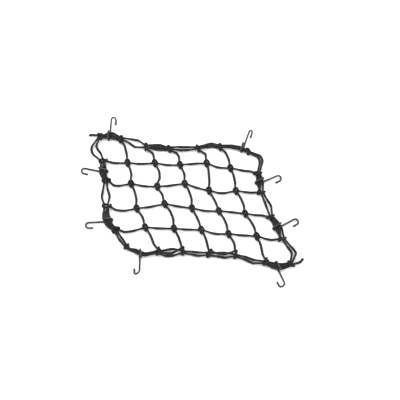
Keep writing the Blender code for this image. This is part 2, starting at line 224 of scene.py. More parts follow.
@dataclass(frozen=True)
class NetPlan:
    """Where the knots lie and how the cords run between them."""

    middle: tuple[float, float] = (1.1, -0.8)
    cord_pitch: float = 4.8
    stack_pitch: float = 4.5
    height_at_knot: float = 6.2
    height_midway: float = 4.6
    turn_lift: float = 0.7
    leaving_shift: float = 1.5
    arriving_shift: float = 2.0
    shift_reach: float = 0.7
    shift_fade: float = 1.5
    knots: tuple[KnotRow, ...] = (
        KnotRow("top", ((-175, 136), (-129, 136), (-85, 116), (-38, 115), (15, 112), (61, 119), (113, 106))),
        KnotRow("row 1", ((-165, 84), (-118, 79), (-66, 79), (-18, 74), (33, 79), (78, 68), (132, 60))),
        KnotRow("row 2", ((-160, 37), (-111, 34), (-62, 26), (-9, 34), (36, 18), (86, 18), (135, 13))),
        KnotRow("row 3", ((-155, -14), (-99, -21), (-46, -10), (5, -20), (55, -26), (103, -32), (152, -34))),
        KnotRow("row 4", ((-137, -70), (-81, -60), (-28, -63), (23, -65), (72, -74), (124, -78), (171, -85))),
        KnotRow(
            "bottom",
            ((-114, -103), (-60, -113), (-11, -111), (36, -116), (84, -118), (134, -134), (184, -134)),
        ),
    )
    row_bows: tuple[Bows, ...] = (
        Bows("row_1", (-2.5, -2.0, -2.0, 0.5, -4.5, -2.5)),
        Bows("row_2", (-7.0, -2.0, -1.0, -1.5, -5.5, -1.5)),
        Bows("row_3", (-7.5, -1.5, -1.0, -2.5, 0.5, -2.0)),
        Bows("row_4", (-4.0, -1.0, -1.0, -4.0, -1.0, -4.5)),
    )
    column_bows: tuple[Bows, ...] = (
        Bows("column_1", (1.0, 3.5, 4.3, 3.6, 3.0)),
        Bows("column_2", (5.5, 7.0, 3.2, 4.8, 2.0)),
        Bows("column_3", (6.0, 3.2, 3.7, 1.0, 2.3)),
        Bows("column_4", (7.0, 2.0, 1.5, 3.0, 4.3)),
        Bows("column_5", (2.5, 2.4, 4.0, 3.0, 2.7)),
    )
    edge: tuple[EdgeSpan, ...] = (
        EdgeSpan("top_0_1", (9.4, 9.0), (-0.2, -3.0), (4.6, 3.3), True),
        EdgeSpan("top_1_2", (4.0, 7.2), (-5.0, -9.0)),
        EdgeSpan("top_2_3", (4.0, 4.0), (-5.0, -6.7), (-1.2, -2.0)),
        EdgeSpan("top_3_4", (1.2, 2.0), (-6.0, -5.0)),
        EdgeSpan("top_4_5", (5.3, 7.0), (-0.3, -0.6), (2.6, 3.2)),
        EdgeSpan("top_5_6", (3.2, 4.0), (-1.6, -1.0), None, True),
        EdgeSpan("corner_top_right", (15.6, 14.4), (10.0, 8.8)),
        EdgeSpan("right_1_2", (3.8, 4.3), (-5.4, -4.9), (-0.8, -0.3), True),
        EdgeSpan("right_2_3", (4.6, 6.5), (-1.5, -2.5)),
        EdgeSpan("right_3_4", (5.0, 6.2), (-4.2, -3.8), (0.4, 1.6), True),
        EdgeSpan("corner_bottom_right", (9.5, 15.0), (3.5, 7.0)),
        EdgeSpan("bottom_6_5", (11.9, 9.4), (2.3, 0.0), (7.1, 4.7), True),
        EdgeSpan("bottom_5_4", (5.5, 2.6), (-1.2, -2.8)),
        EdgeSpan("bottom_4_3", (5.7, 3.5), (-4.4, -3.7), (-0.3, -0.3)),
        EdgeSpan("bottom_3_2", (5.0, 3.3), (-2.0, -2.3)),
        EdgeSpan("bottom_2_1", (6.7, 7.0), (-7.0, -4.7), (3.0, 3.0)),
        EdgeSpan("bottom_1_0", (9.6, 6.0), (5.0, 1.2), None, True),
        EdgeSpan("corner_bottom_left", (0.9, 1.5), (-4.6, -4.0)),
        EdgeSpan("left_4_3", (10.4, 10.2), (0.6, 0.4), (5.4, 5.3), True),
        EdgeSpan("left_3_2", (6.7, 3.6), (-8.0, -5.0)),
        EdgeSpan("left_2_1", (6.4, 5.4), (-3.5, -3.8), (1.8, 0.8), True),
        EdgeSpan("corner_top_left", (16.4, 16.5), (1.5, 7.4)),
    )
    first_tail: tuple[TailPoint, ...] = (
        TailPoint(-183, 142, 5.0), TailPoint(-189, 144, 3.5), TailPoint(-195, 142.5, 2.5)
    )
    last_tail: tuple[TailPoint, ...] = (
        TailPoint(195, -135, 5.0), TailPoint(201, -131, 3.5), TailPoint(207, -123, 2.5)
    )

    @property
    def rows(self) -> int:
        """How many cords run across."""
        return len(self.row_bows)

    @property
    def columns(self) -> int:
        """How many cords run down."""
        return len(self.column_bows)

    def edge_order(self) -> list[tuple[int, int]]:
        """Row and column of each knot on the edge, clockwise from the top left."""
        last_row, last_column = self.rows + 1, self.columns + 1
        top = [(0, column) for column in range(last_column + 1)]
        right = [(row, last_column) for row in range(1, last_row)]
        bottom = [(last_row, column) for column in range(last_column, -1, -1)]
        left = [(row, 0) for row in range(last_row - 1, 0, -1)]
        return top + right + bottom + left

    def knot(self, row: int, column: int) -> np.ndarray:
        """Centre of a knot in plan."""
        return np.array(self.knots[row].places[column], float) - self.middle

    def edge_knot(self, place: int) -> np.ndarray:
        """Centre of the knot at a place on the edge, which closes on itself."""
        return self.knot(*self.edge_order()[place % len(self.edge)])

    def span_normal(self, span: int) -> np.ndarray:
        """Outward direction of an edge span."""
        return left_of(self.edge_knot(span + 1) - self.edge_knot(span))

    def knot_normal(self, place: int) -> np.ndarray:
        """Outward direction at an edge knot, between those of its two spans."""
        both = self.span_normal(place) + self.span_normal(place - 1)
        return both / math.hypot(both[0], both[1])

    def height(self, share: np.ndarray, level: bool) -> np.ndarray:
        """Height of a cord's centre: level, or dipping by a parabola midway between its knots."""
        dip = 0.0 if level else self.height_at_knot - self.height_midway
        return self.height_at_knot - dip * 4 * share * (1 - share)

    def bowed_span(self, start: np.ndarray, end: np.ndarray, bow: float, share: np.ndarray) -> np.ndarray:
        """Points of a span whose plan is a parabola.

        Args:
            start: Centre of its first knot in plan.
            end: Centre of its last knot in plan.
            bow: How far its middle lies to the left of the straight line.
            share: Shares of the way, from 0 to 1.

        Returns:
            Points in millimetres.
        """
        t = share[:, None]
        plan = start * (1 - t) + end * t + left_of(end - start) * bow * 4 * t * (1 - t)
        return np.column_stack([plan, self.height(share, False)])

    def slot(self, strand: Strand) -> float:
        """How far outside the middle of a knot a strand passes through it."""
        side = {Strand.OUTER: 0.5, Strand.THIRD: 0.0, Strand.INNER: -0.5}
        return side[strand] * self.cord_pitch

    def strand_plan(self, span: int, strand: Strand, share: np.ndarray) -> np.ndarray:
        """Plan of an edge strand, from its slot in one knot to its slot in the next.

        The offset from the straight line is the cubic through both slots and the two
        offsets of the table. Near each knot it turns into the knot's own direction.

        Args:
            span: Place of the span on the edge.
            strand: Which strand.
            share: Shares of the way, from 0 to 1.

        Returns:
            Points in plan.
        """
        slot = self.slot(strand)
        early, late = getattr(self.edge[span], strand.value)
        t = share[:, None]
        # Lagrange's cubic with its nodes at 0, 1/3, 2/3 and 1, and the slot at both ends.
        offset = slot * (1 - 4.5 * t * (1 - t))
        offset = offset + 13.5 * t * (1 - t) * (early * (2 / 3 - t) + late * (t - 1 / 3))
        normal = self.span_normal(span)
        turn = (self.knot_normal(span) - normal) * (1 - t) ** 3
        turn = turn + (self.knot_normal(span + 1) - normal) * t**3
        return self.edge_knot(span) * (1 - t) + self.edge_knot(span + 1) * t + normal * offset + turn * slot

    def strand_points(self, span: int, strand: Strand, share: np.ndarray) -> np.ndarray:
        """Points of an edge strand. A third strand climbs where the others leave it no room.

        Args:
            span: Place of the span on the edge.
            strand: Which strand.
            share: Shares of the way, from 0 to 1.

        Returns:
            Points in millimetres.
        """
        plan = self.strand_plan(span, strand, share)
        hooked = self.edge[span].hooked
        height = self.height(share, hooked)
        if strand is Strand.THIRD:
            others = (Strand.OUTER, Strand.INNER)
            beside = [self.strand_plan(span, other, share) - plan for other in others]
            nearest = np.min([np.hypot(step[:, 0], step[:, 1]) for step in beside], axis=0)
            climb = np.sqrt(np.clip(self.stack_pitch**2 - nearest**2, 0, None))
            height = height + climb + (0.0 if hooked else self.turn_lift)
        return np.column_stack([plan, height])

    def row_run(self, row: int, span: int) -> Run:
        """The run of a row cord from one column to the next."""
        start, end = self.knot(row + 1, span), self.knot(row + 1, span + 1)
        bow = self.row_bows[row].spans[span]
        return Run(float(math.dist(start, end)), lambda share: self.bowed_span(start, end, bow, share))

    def row_direction(self, row: int, column: int) -> np.ndarray:
        """Which way a row cord runs through a knot in plan."""
        step = self.knot(row, column + 1) - self.knot(row, column - 1)
        return step / math.hypot(step[0], step[1])

    def beside_knot(self, row: int, column: int, shift: float) -> np.ndarray:
        """How far a column cord passes to the right of a knot's middle. An edge knot has no shift."""
        if row in (0, self.rows + 1):
            return np.zeros(2)
        return self.row_direction(row, column + 1) * shift

    def column_run(self, column: int, span: int) -> Run:
        """The run of a column cord from one row to the next.

        It is a bowed span that starts beside the middle of the knot above and ends beside
        the middle of the one below, and both shifts fade out along the way.
        """
        start, end = self.knot(span, column + 1), self.knot(span + 1, column + 1)
        bow = self.column_bows[column].spans[span]
        leaving = self.beside_knot(span, column, self.leaving_shift)
        coming = self.beside_knot(span + 1, column, self.arriving_shift)

        def points(share: np.ndarray) -> np.ndarray:
            ways = np.stack([share, 1 - share])[:, :, None]
            fades = np.clip(1 - ways / self.shift_reach, 0, 1) ** self.shift_fade
            route = self.bowed_span(start, end, bow, share)
            route[:, :2] += fades[0] * leaving + fades[1] * coming
            return route

        return Run(float(math.dist(start, end)), points)

    def edge_run(self, span: int, strand: Strand) -> Run:
        """The run of an edge strand from one knot to the next."""
        span %= len(self.edge)
        length = float(math.dist(self.edge_knot(span), self.edge_knot(span + 1)))
        return Run(length, lambda share: self.strand_points(span, strand, share))

    def tail(self, points: tuple[TailPoint, ...]) -> np.ndarray:
        """A free end, from its tip to the knot."""
        return np.array(points[::-1], float) - (*self.middle, 0.0)


# ---------------------------------------------------------------- knots


class Stretch(NamedTuple):
    """A stretch of cord: points on its centreline and its radius at each."""

    points: np.ndarray
    radii: np.ndarray

    def reversed(self) -> "Stretch":
        """The same stretch, run the other way."""
        return Stretch(self.points[::-1], self.radii[::-1])


class Lean(Enum):
    """Which way the bight of an overhand knot leans, seen along the cord that it holds."""

    AHEAD = 1
    BACK = -1


class KnotPoint(NamedTuple):
    """A point on the loose knot: along and across the held cords, and its height.

    The distance across is measured from the middle of the held cords, or, on the far
    and near sides, from outside them.
    """

    along: float
    across: float
    side: int
    height: float


@dataclass(frozen=True)
class LooseKnot:
    """A knot before it is drawn up, tied flat round one or two held cords.

    Both knots here are made of a far turn, which goes over and down round the far side of
    the held cords, and a tuck, which goes down and back under them. The overhand ends on
    the far side, and the hitch starts there and ends on top.
    """

    points: tuple[KnotPoint, ...]

    def route(self, lean: Lean, outside: float, turned: bool) -> np.ndarray:
        """The loose knot's line about its own middle.

        Args:
            lean: Which way the bight leans.
            outside: Half the width of the held cords.
            turned: Whether the cord comes from the right of the held ones, not the left.

        Returns:
            Rows of (along, across, height).
        """
        table = np.array(self.points, float)
        across = table[:, 1] + table[:, 2] * outside
        return np.column_stack([table[:, 0] * lean.value, across * (-1 if turned else 1), table[:, 3]])


FAR_TURN = (
    KnotPoint(-0.8, -1.8, -1, 8.2), KnotPoint(-0.4, -4.5, -1, 6.5), KnotPoint(0.8, -7.0, -1, 3.5),
    KnotPoint(3.5, -7.2, -1, 1.7), KnotPoint(5.5, -4.0, -1, 1.7), KnotPoint(5.2, 0.0, 0, 1.7),
)
TUCK = (
    KnotPoint(-6.0, 0.0, 0, 10.0), KnotPoint(-6.4, -1.4, -1, 6.5), KnotPoint(-3.8, -2.4, -1, 4.0),
    KnotPoint(-0.8, -1.9, -1, 4.0), KnotPoint(1.8, -3.5, -1, 5.0),
)
OVERHAND = LooseKnot(
    (
        KnotPoint(-0.5, 3.5, 1, 6.8), KnotPoint(-0.5, 0.0, 0, 10.0), *FAR_TURN,
        KnotPoint(5.2, 1.5, 1, 3.0), KnotPoint(4.8, 4.5, 1, 6.0), KnotPoint(2.6, 5.5, 1, 9.5),
        KnotPoint(-0.5, 3.5, 1, 11.0), KnotPoint(-3.8, 0.3, 1, 10.8), *TUCK,
        KnotPoint(2.4, -6.5, -1, 6.0),
    )
)
HITCH = LooseKnot(
    (
        KnotPoint(3.4, -6.5, -1, 6.0), *TUCK[::-1],
        KnotPoint(-3.8, 0.6, 1, 9.6), KnotPoint(-0.5, 2.2, 1, 8.4), KnotPoint(2.6, 2.4, 1, 6.4),
        KnotPoint(4.8, 2.0, 1, 3.6), *FAR_TURN[::-1], KnotPoint(0.0, 0.0, 0, 10.6),
    )
)


@dataclass
class Knot:
    """One knot: its pattern, the cord that ties it and the cords that pass through."""

    pattern: LooseKnot
    centre: np.ndarray
    ahead: np.ndarray
    lean: Lean
    turned: bool
    outside: float
    arrive: np.ndarray
    leave: np.ndarray
    held_lines: list[np.ndarray]
    slack: float
    tied: Stretch | None = None
    held: list[Stretch] = field(default_factory=list)

    def loose_line(self, count: int) -> np.ndarray:
        """The tying cord's line before the knot is drawn up, as count points."""
        pattern = self.pattern.route(self.lean, self.outside, self.turned)
        plan = self.centre + pattern[:, :1] * self.ahead + pattern[:, 1:2] * left_of(self.ahead)
        body = np.column_stack([plan, pattern[:, 2]])
        return smooth_line(np.vstack([self.arrive, body, self.leave]), count)


@dataclass(frozen=True)
class KnotTyer:
    """Draws up all the knots at once, as chains of short links that can't pass through each other.

    The links of a tying cord shorten bit by bit. After each small change every chain
    is bent a little straighter, its links get their length back, and points of two
    cords nearer than their radii move apart. Nothing sinks into the surface or stands
    higher than the ceiling, because the net lies flat.

    Attributes:
        reach: How far from a knot's middle its chains end.
        step: Distance between the two fixed points at each end of a chain.
        tied_radius: Radius of the tying cord where the knot squeezes it.
        held_radius: Radius of a held cord there.
        drawing_share: Share of the passes over which the tying cord shortens.
        squeeze_share: Share of a chain over which its radius changes at each end.
        search_every: Passes between two searches for pairs of points that may touch.
        search_margin: How far apart such a pair may still be.
        neighbours: Points of one chain this many widths apart along it are no such pair.
        rounds: How many times a pass mends the links and the overlaps.
    """

    reach: float = 18.0
    step: float = 1.5
    cord_radius: float = 2.4
    tied_radius: float = 1.95
    held_radius: float = 1.9
    tied_points: int = 72
    held_points: int = 21
    ceiling: float = 12.0
    stiffness: float = 0.10
    end_stiffness: float = 0.35
    passes: int = 900
    drawing_share: float = 0.55
    squeeze_share: float = 0.16
    fixed_points: int = 2
    search_every: int = 12
    search_margin: float = 1.2
    neighbours: float = 1.2
    rounds: int = 2

    def chains(self, knots: list[Knot]) -> tuple[list[np.ndarray], np.ndarray, np.ndarray, np.ndarray]:
        """All cords in the knots as chains.

        Args:
            knots: The knots.

        Returns:
            The chains, the knot that each is in, whether it ties it, and its drawn-up length.
        """
        lines, owner, tying, drawn = [], [], [], []
        for place, knot in enumerate(knots):
            line = knot.loose_line(self.tied_points)
            held = [evenly_spaced(route, self.held_points) for route in knot.held_lines]
            middle = np.r_[knot.centre, (line[0, 2] + line[-1, 2]) / 2]
            straight = math.dist(middle, line[0]) + math.dist(middle, line[-1])
            lines += [line, *held]
            owner += [place] * (1 + len(held))
            tying += [True] + [False] * len(held)
            drawn += [straight + knot.slack] + [lengths_along(route)[-1] for route in held]
        return lines, np.array(owner), np.array(tying), np.array(drawn)

    def inside(self, share: np.ndarray) -> np.ndarray:
        """How far into the knot a point of a chain is: 0 at both its ends, rising smoothly to 1."""
        rise = np.clip(np.minimum(share, 1 - share) / self.squeeze_share, 0, 1)
        return rise * rise * (3 - 2 * rise)

    def tie(self, knots: list[Knot]) -> float:
        """Draws up the knots and gives each its finished cords.

        Args:
            knots: The knots, which get their tied and held stretches.

        Returns:
            The deepest that two cords still press into each other, in millimetres.
        """
        lines, owner, tying, drawn = self.chains(knots)
        counts = np.array([len(line) for line in lines])
        starts = np.r_[0, np.cumsum(counts)]
        points = np.vstack(lines)
        chain = np.repeat(np.arange(len(lines)), counts)
        place = np.arange(len(points)) - starts[chain]
        last = counts[chain] - 1
        inside = self.inside(place / last)
        slim = np.where(tying[chain], self.tied_radius, self.held_radius)
        radius = self.cord_radius - (self.cord_radius - slim) * inside
        free = (place >= self.fixed_points) & (place <= last - self.fixed_points)
        inner = np.flatnonzero(free)
        weight = free.astype(float)
        stiffness = (self.stiffness + self.end_stiffness * (1 - inside[inner]))[:, None]
        loose = np.array([lengths_along(line)[-1] for line in lines])
        links = np.flatnonzero(chain[:-1] == chain[1:])
        every_other = [links[place[links] % 2 == parity] for parity in (0, 1)]
        first, second = self.all_pairs(owner[chain], len(knots))
        touch = radius[first] + radius[second]
        same = chain[first] == chain[second]
        apart = np.abs(place[first] - place[second])
        for turn in range(self.passes):
            share = min(1.0, turn / (self.passes * self.drawing_share))
            link = ((loose + (drawn - loose) * share) / (counts - 1))[chain]
            straighter = (points[inner - 1] + points[inner + 1]) / 2 - points[inner]
            points[inner] += stiffness * straighter
            if turn % self.search_every == 0:
                gap = np.linalg.norm(points[first] - points[second], axis=1)
                next_to = same & (apart <= np.ceil(self.neighbours * touch / link[first]))
                close = (gap < touch + self.search_margin) & ~next_to
                near_first, near_second, near_touch = first[close], second[close], touch[close]
            for _ in range(self.rounds):
                self.restore_links(points, every_other, link, weight)
                self.push_apart(points, near_first, near_second, near_touch, weight)
                high = np.clip(points[:, 2], radius, self.ceiling - radius)
                points[:, 2] = np.where(free, high, points[:, 2])
        gap = np.linalg.norm(points[first] - points[second], axis=1)
        pressed = (touch - gap) * ~(same & (apart <= np.ceil(self.neighbours * touch / link[first])))
        done = [Stretch(points[a:b], radius[a:b]) for a, b in zip(starts, starts[1:])]
        for number, knot in enumerate(knots):
            own = [stretch for stretch, who in zip(done, owner) if who == number]
            knot.tied, knot.held = own[0], own[1:]
        return float(pressed.max())

    def all_pairs(self, owner: np.ndarray, knots: int) -> tuple[np.ndarray, np.ndarray]:
        """Every pair of points that belong to the same knot."""
        firsts, seconds = [], []
        for number in range(knots):
            members = np.flatnonzero(owner == number)
            first, second = np.triu_indices(len(members), 1)
            firsts.append(members[first])
            seconds.append(members[second])
        return np.concatenate(firsts), np.concatenate(seconds)

    def restore_links(
        self, points: np.ndarray, halves: list[np.ndarray], link: np.ndarray, weight: np.ndarray
    ) -> None:
        """Gives links their length back, moving both ends along the link.

        Args:
            points: All points, changed in place.
            halves: First points of the even links, and of the odd ones.
            link: Length that each link should have.
            weight: 1 for a point that may move and 0 for one that may not.
        """
        for start in halves:
            step = points[start + 1] - points[start]
            length = np.linalg.norm(step, axis=1)
            both = np.maximum(weight[start] + weight[start + 1], TINY)
            change = step * ((length - link[start]) / length / both)[:, None]
            points[start] += change * weight[start, None]
            points[start + 1] -= change * weight[start + 1, None]

    def push_apart(
        self, points: np.ndarray, first: np.ndarray, second: np.ndarray, touch: np.ndarray, weight: np.ndarray
    ) -> None:
        """Moves points of two cords that press into each other apart, half the overlap each.

        Args:
            points: All points, changed in place.
            first: First point of each close pair.
            second: Second point of each close pair.
            touch: Sum of the two radii of each pair.
            weight: 1 for a point that may move and 0 for one that may not.
        """
        step = points[first] - points[second]
        gap = np.linalg.norm(step, axis=1) + TINY
        hit = gap < touch
        push = step[hit] * ((touch - gap) / gap / 2)[hit, None]
        one, other, count = first[hit], second[hit], len(points)
        times = np.bincount(one, minlength=count) + np.bincount(other, minlength=count)
        moves = [
            np.bincount(one, push[:, axis], minlength=count)
            - np.bincount(other, push[:, axis], minlength=count)
            for axis in range(3)
        ]
        points += np.stack(moves, 1) * (weight / np.maximum(1, times / 2))[:, None]


@dataclass
class KnotWork:
    """All forty-two knots of the net, and the stretches of cord between them."""

    plan: NetPlan
    tyer: KnotTyer = field(default_factory=KnotTyer)
    crossing_slack: float = 42.0
    hitch_slack: float = 38.5
    joint_slack: float = 43.0
    single_half: float = 2.0
    double_half: float = 4.4
    swap_place: int = 6
    joint_place: int = 17
    joint_shift: float = 1.4
    first_tail_place: int = 0
    last_tail_place: int = 11
    tail_points: int = 16
    crossings: dict[tuple[int, int], Knot] = field(default_factory=dict)
    edges: list[Knot] = field(default_factory=list)

    def build(self) -> float:
        """Lays out every knot and draws them all up.

        Returns:
            The deepest that two cords press into each other, in millimetres.
        """
        plan = self.plan
        for row in range(plan.rows):
            for column in range(plan.columns):
                self.crossings[row, column] = self.crossing(row, column)
        self.edges = [self.edge(place) for place in range(len(plan.edge))]
        return self.tyer.tie([*self.crossings.values(), *self.edges])

    def arriving(self, run: Run) -> np.ndarray:
        """Where a run comes in to the knot at its end, from outside it."""
        return run.arriving(self.tyer.reach, self.tyer.step)

    def leaving(self, run: Run) -> np.ndarray:
        """Where a run meets the knot at its start, from outside it."""
        return run.leaving(self.tyer.reach, self.tyer.step)

    def through(self, before: Run, after: Run) -> np.ndarray:
        """The line of a cord that passes through a knot."""
        reach = self.tyer.reach + self.tyer.step
        return np.vstack([before.to_knot(reach), after.from_knot(reach)[1:]])

    def crossing(self, row: int, column: int) -> Knot:
        """The knot of a column cord round a row cord.

        Args:
            row: Which row cord, from the top.
            column: Which column, from the left.

        Returns:
            The knot, not yet tied.
        """
        plan = self.plan
        return Knot(
            pattern=OVERHAND,
            centre=plan.knot(row + 1, column + 1),
            ahead=plan.row_direction(row + 1, column + 1),
            lean=Lean.AHEAD,
            turned=False,
            outside=self.single_half,
            arrive=self.arriving(plan.column_run(column, row)),
            leave=self.leaving(plan.column_run(column, row + 1))[::-1],
            held_lines=[self.through(plan.row_run(row, column), plan.row_run(row, column + 1))],
            slack=self.crossing_slack,
        )

    def inside_end(self, place: int) -> np.ndarray:
        """Where the row or column cord that ties an edge knot comes in to it."""
        plan = self.plan
        row, column = plan.edge_order()[place]
        if row == 0:
            return self.leaving(plan.column_run(column - 1, 0))
        if row == plan.rows + 1:
            return self.arriving(plan.column_run(column - 1, plan.rows))
        if column == 0:
            return self.leaving(plan.row_run(row - 1, 0))
        return self.arriving(plan.row_run(row - 1, plan.columns))

    def edge(self, place: int) -> Knot:
        """A knot on the edge: tied by a row, column or free end, or by the perimeter cord itself.

        Args:
            place: Place on the edge.

        Returns:
            The knot, not yet tied.
        """
        plan = self.plan
        outward = plan.knot_normal(place)
        strands = (Strand.OUTER, Strand.INNER)
        before = [plan.edge_run(place - 1, strand) for strand in strands]
        after = [plan.edge_run(place, strand) for strand in strands]
        knot = Knot(
            pattern=OVERHAND,
            centre=plan.edge_knot(place),
            ahead=-left_of(outward),
            lean=Lean.AHEAD,
            turned=False,
            outside=self.double_half,
            arrive=self.arriving(before[0]),
            leave=self.leaving(after[0])[::-1],
            held_lines=[self.through(one, other) for one, other in zip(before, after)],
            slack=self.joint_slack,
        )
        if place == self.swap_place:
            centre = np.r_[knot.centre, plan.height_at_knot]
            swap = [self.arriving(before[1]), centre[None], self.leaving(after[0])[::-1]]
            knot.held_lines = [smooth_line(np.vstack(swap), self.tyer.held_points)]
            knot.leave = self.leaving(after[1])[::-1]
            knot.outside = self.single_half
            return knot
        if place == self.joint_place:
            knot.centre = knot.centre + outward * self.joint_shift
            knot.arrive, knot.leave = self.arriving(before[1]), self.leaving(after[1])[::-1]
            knot.held_lines = knot.held_lines[:1]
            knot.outside = self.single_half
            return knot
        onward = plan.edge[place].third is not None
        third = plan.edge_run(place if onward else place - 1, Strand.THIRD)
        knot.leave = (self.leaving(third) if onward else self.arriving(third))[::-1]
        knot.pattern, knot.slack = HITCH, self.hitch_slack
        if place in (self.first_tail_place, self.last_tail_place):
            tail = plan.first_tail if place == self.first_tail_place else plan.last_tail
            knot.arrive, knot.turned = plan.tail(tail)[-2:], True
        else:
            knot.arrive = self.inside_end(place)
        side = (knot.arrive[-1, :2] - knot.centre) @ knot.ahead
        knot.lean = Lean.AHEAD if side > 0 else Lean.BACK
        return knot

    def between(self, run: Run) -> Stretch:
        """The stretch of a run that is clear of the knots at both its ends."""
        points = run.middle(self.tyer.reach + self.tyer.step, self.tyer.step)
        return Stretch(points, np.full(len(points), self.tyer.cord_radius))

    def tail(self, points: tuple[TailPoint, ...]) -> Stretch:
        """A free end of the column cord, from its tip to where its knot starts."""
        corners = self.plan.tail(points)
        line = smooth_line(corners, self.tail_points)
        tip = line[lengths_along(line) < math.dist(*corners[:2]) - self.tyer.step / 2]
        return Stretch(tip, np.full(len(tip), self.tyer.cord_radius))


# ---------------------------------------------------------------- the four cords


class Frames(NamedTuple):
    """Two unit vectors across a path at each of its rings."""

    side: np.ndarray
    top: np.ndarray


def carried_frames(centres: np.ndarray, closed: bool) -> Frames:
    """Carries one pair of vectors along a path, turning it as little as it can.

    The turn that takes one tangent to the next is I + K + KK / (1 + cos), where K is the
    cross-product matrix of the pair. Running products of all the turns, formed by
    doubling, take the first ring's vectors to every other. On a closed path the twist
    left over at the end is shared out evenly.

    Args:
        centres: Centre of each ring.
        closed: Whether the last ring is followed by the first.

    Returns:
        The two vectors for every ring.
    """
    ahead = np.roll(centres, -1, 0) - np.roll(centres, 1, 0) if closed else np.gradient(centres, axis=0)
    tangent = ahead / np.linalg.norm(ahead, axis=1, keepdims=True)
    after = np.vstack([tangent[1:], tangent[:1]])
    axis = np.cross(tangent, after)
    cross = np.zeros((len(centres), 3, 3))
    cross[:, [2, 0, 1], [1, 2, 0]] = axis
    cross[:, [1, 2, 0], [2, 0, 1]] = -axis
    cosine = np.sum(tangent * after, axis=1)
    turns = np.eye(3) + cross + cross @ cross / (1 + cosine)[:, None, None]
    span = 1
    while span < len(turns):
        turns[span:] = turns[span:] @ turns[:-span]
        span *= 2
    start = np.cross(tangent[0], np.cross(UP, tangent[0]))
    start /= np.linalg.norm(start)
    side = np.vstack([start, (turns @ start)[:-1]])
    side -= tangent * np.sum(side * tangent, axis=1, keepdims=True)
    side /= np.linalg.norm(side, axis=1, keepdims=True)
    top = np.cross(tangent, side)
    if closed:
        ended = turns[-1] @ start
        twist = math.atan2(ended @ np.cross(tangent[0], start), ended @ start)
        angle = (-twist * np.arange(len(side)) / len(side))[:, None]
        side, top = side * np.cos(angle) + top * np.sin(angle), top * np.cos(angle) - side * np.sin(angle)
    return Frames(side, top)


def add_tube(
    name: str, centres: np.ndarray, radii: np.ndarray, sides: int, closed: bool
) -> bpy.types.Object:
    """A round tube along a path: centre + radius (side cos a + top sin a) for each angle a.

    Its UV map, braid, holds the share of the way round and the metres along.

    Args:
        name: Name of the object.
        centres: Centre of each ring in millimetres.
        radii: Radius of each ring in millimetres.
        sides: How many faces go round.
        closed: Whether the last ring joins the first, or both ends are capped.

    Returns:
        The new object, at the origin.
    """
    frames = carried_frames(centres, closed)
    angle = np.linspace(0, math.tau, sides, endpoint=False)[None, :, None]
    across = frames.side[:, None] * np.cos(angle) + frames.top[:, None] * np.sin(angle)
    vertices = (centres[:, None] + radii[:, None, None] * across).reshape(-1, 3)
    rings = len(centres) if closed else len(centres) - 1
    ring, corner = np.meshgrid(np.arange(rings), np.arange(sides), indexing="ij")
    low, high = ring * sides, (ring + 1) % len(centres) * sides
    beside = (corner + 1) % sides
    quads = np.stack([low + corner, low + beside, high + beside, high + corner], -1).reshape(-1, 4)
    along = lengths_along(np.vstack([centres, centres[:1]])) * MM
    around = np.stack([corner, corner + 1, corner + 1, corner], -1) / sides
    metres = np.stack([along[ring], along[ring], along[ring + 1], along[ring + 1]], -1)
    uv = np.stack([around, metres], -1).reshape(-1, 2)
    faces = quads.tolist()
    if not closed:
        first, last = np.arange(sides)[::-1], np.arange(sides) + (len(centres) - 1) * sides
        faces += [first.tolist(), last.tolist()]
        uv = np.vstack([uv, np.repeat([[0.5, 0.0], [0.5, along[-2]]], sides, axis=0)])
    mesh = bpy.data.meshes.new(name)
    mesh.from_pydata((vertices * MM).tolist(), [], faces)
    mesh.uv_layers.new(name="braid").data.foreach_set("uv", uv.ravel())
    mesh.shade_smooth()
    mesh.update()
    piece = bpy.data.objects.new(name, mesh)
    bpy.context.collection.objects.link(piece)
    return piece


@dataclass
class ElasticCord:
    """A length of braided elastic cord, laid along stretches that follow one another."""

    name: str
    stands_for: tuple[str, ...]
    stretches: list[Stretch]
    closed: bool
    diameter: float = 4.8
    ring_step: float = 1.1
    sides: int = 20
    smoothing: int = 2
    end_share: float = 0.7
    end_rings: int = 5
    end_clear: float = 1.3
    piece: bpy.types.Object | None = None
    length: float = 0.0

    def line(self) -> np.ndarray:
        """The whole cord's centreline and radius, smoothed and evenly spaced.

        Returns:
            Rows of x, y, z and radius.
        """
        rows = np.vstack([np.column_stack([part.points, part.radii]) for part in self.stretches])
        if self.closed:
            rows = np.vstack([rows, rows[:1]])
        count = round(lengths_along(rows)[-1] / self.ring_step) + 1
        even = evenly_spaced(rows, count)
        if not self.closed:
            return eased(even, self.smoothing)
        ring = even[:-1]
        for _ in range(self.smoothing):
            ring = (np.roll(ring, 1, 0) + 2 * ring + np.roll(ring, -1, 0)) / 4
        return np.vstack([ring, ring[:1]])

    def build(self) -> bpy.types.Object:
        line = self.line()
        self.length = float(lengths_along(line)[-1]) * MM
        blunt = self.diameter / 2 * self.end_share
        rings = line[:-1] if self.closed else blunted(line, blunt, self.end_rings, self.end_clear)
        self.piece = add_tube(self.name, rings[:, :3], rings[:, 3], self.sides, self.closed)
        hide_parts(*self.stands_for)
        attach(self.piece, "root")
        return self.piece

    def dress(self, finish: "BraidedSleeve") -> None:
        """Gives the cord its braided sleeve."""
        self.piece.data.materials.append(finish.material())

    def report(self) -> None:
        """Tells the log what the cord came to."""
        LOG.info("%s: %.2f m of cord, %d triangles", self.name, self.length, triangles(self.piece))


